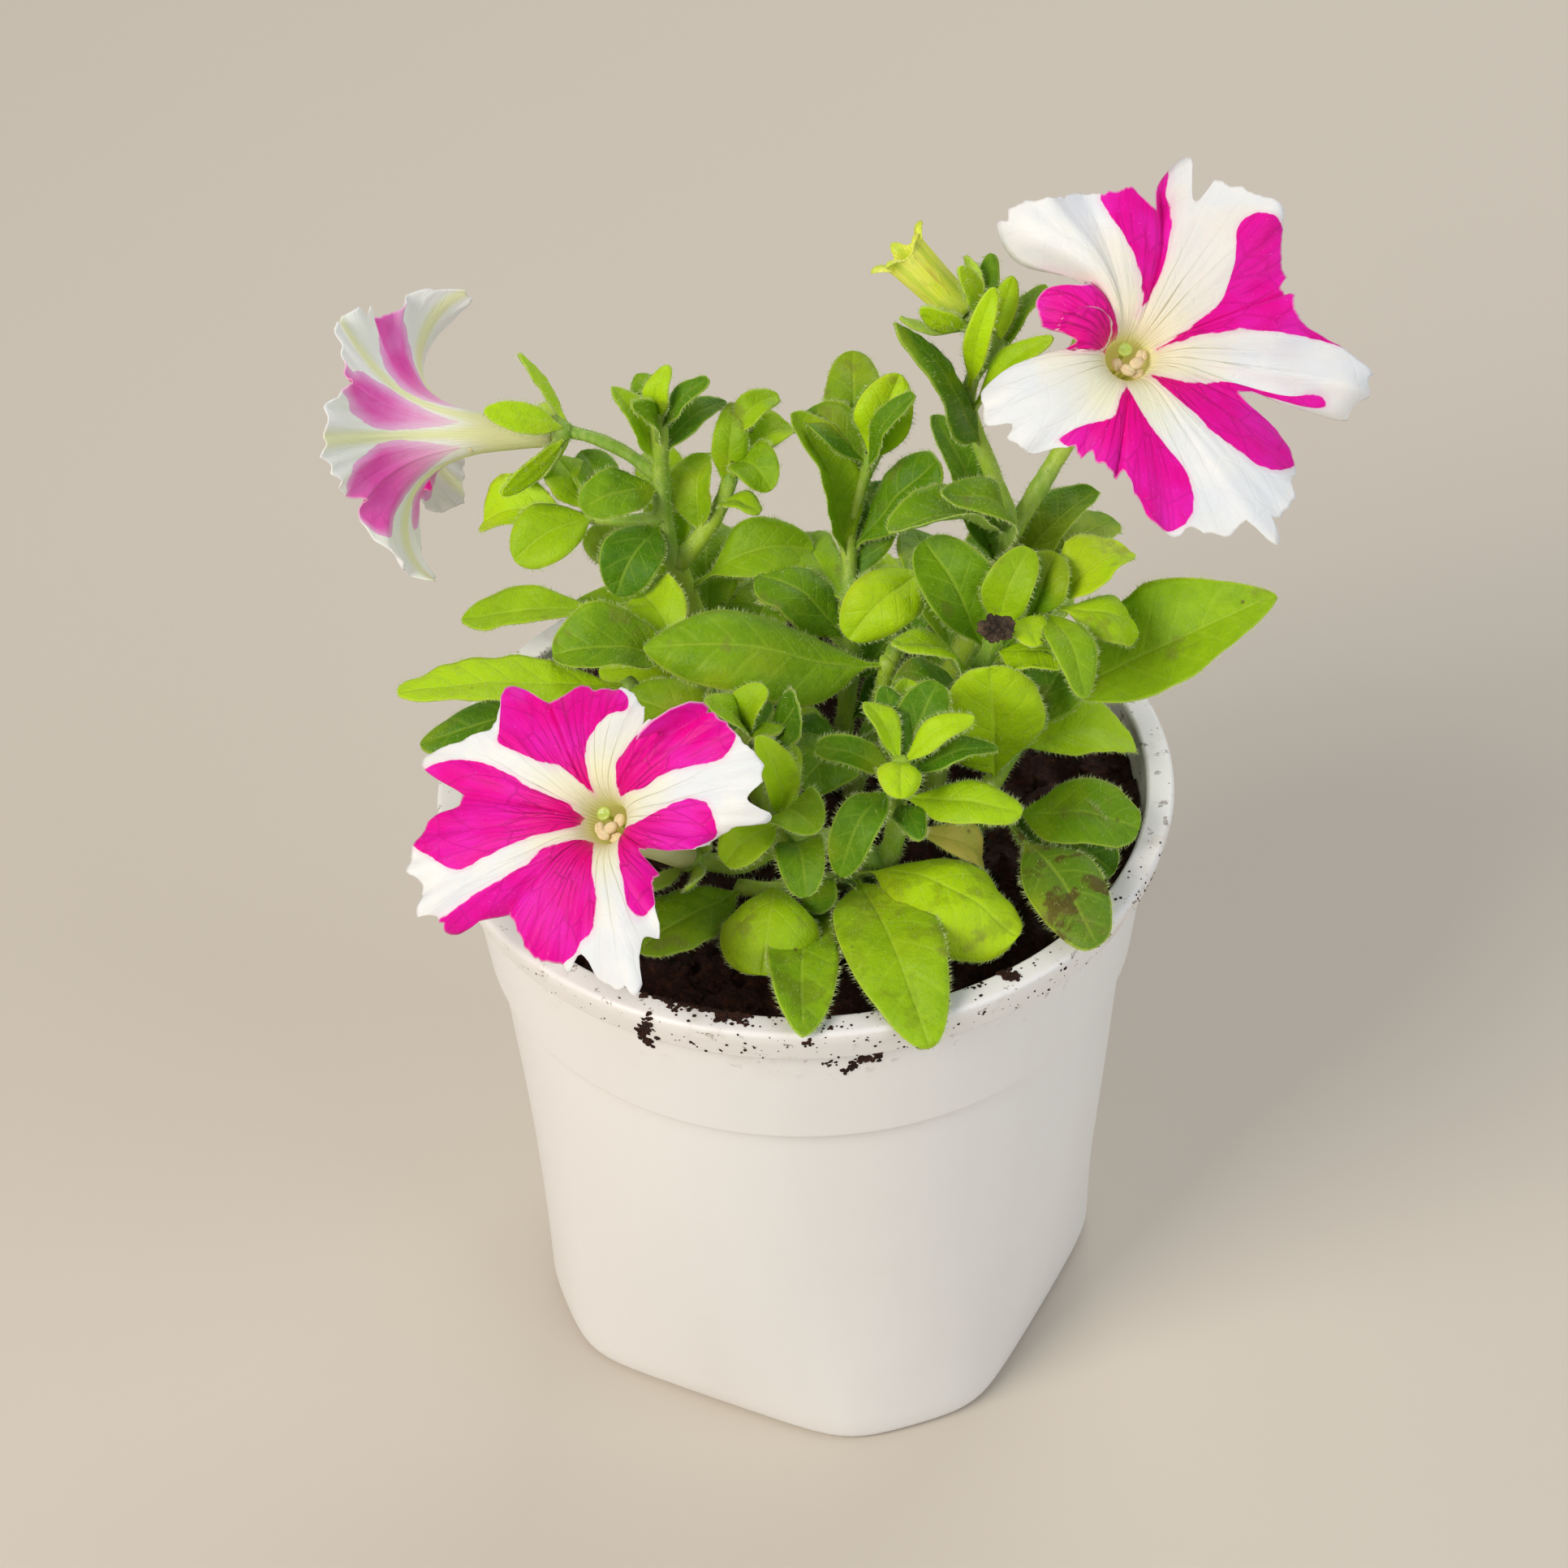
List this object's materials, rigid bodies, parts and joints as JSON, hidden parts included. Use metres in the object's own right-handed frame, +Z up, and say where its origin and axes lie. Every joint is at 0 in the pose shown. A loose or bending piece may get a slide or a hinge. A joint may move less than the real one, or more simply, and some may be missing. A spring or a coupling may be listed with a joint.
{
  "type": "potted petunia",
  "caption": "Petunia with striped trumpet flowers, hairy stems and soft ovate leaves, growing in dark soil in a white plastic nursery pot.",
  "frame": {"origin": "centre of the pot's flat underside, on the surface that it stands on", "axes": "+Z up along the pot's axis, -Y towards the viewer of the picture, +X to the viewer's right"},
  "size_m": [0.1746, 0.1419, 0.2214],
  "materials": {
    "pot": "white, semi-gloss",
    "soil": "dark, moist and crumbly",
    "leaf": "bright green, softly hairy",
    "petal": "magenta with white stripes, silky",
    "anther": "cream, powdery",
    "pistil": "pale green, moist",
    "young_petal": "yellow-green, silky",
    "withered": "brown, dry and crumpled"
  },
  "bodies": {
    "root": {"pot": "pot", "soil": "soil", "left_back_shoot": "leaf", "centre_back_shoot": "leaf", "centre_shoot": "leaf", "right_back_shoot": "leaf", "right_shoot": "leaf", "front_shoot": "leaf", "centre_left_shoot": "leaf", "left_basal_shoot": "leaf", "right_basal_shoot": "leaf", "front_basal_shoot": "leaf", "back_left_shoot": "leaf", "back_right_shoot": "leaf", "front_flower": "petal", "front_stamens": "anther", "front_pistil": "pistil", "right_flower": "petal", "right_stamens": "anther", "right_pistil": "pistil", "left_flower": "petal", "left_stamens": "anther", "left_pistil": "pistil", "young_flower": "young_petal", "withered_scrap": "withered"}
  },
  "joints": []
}
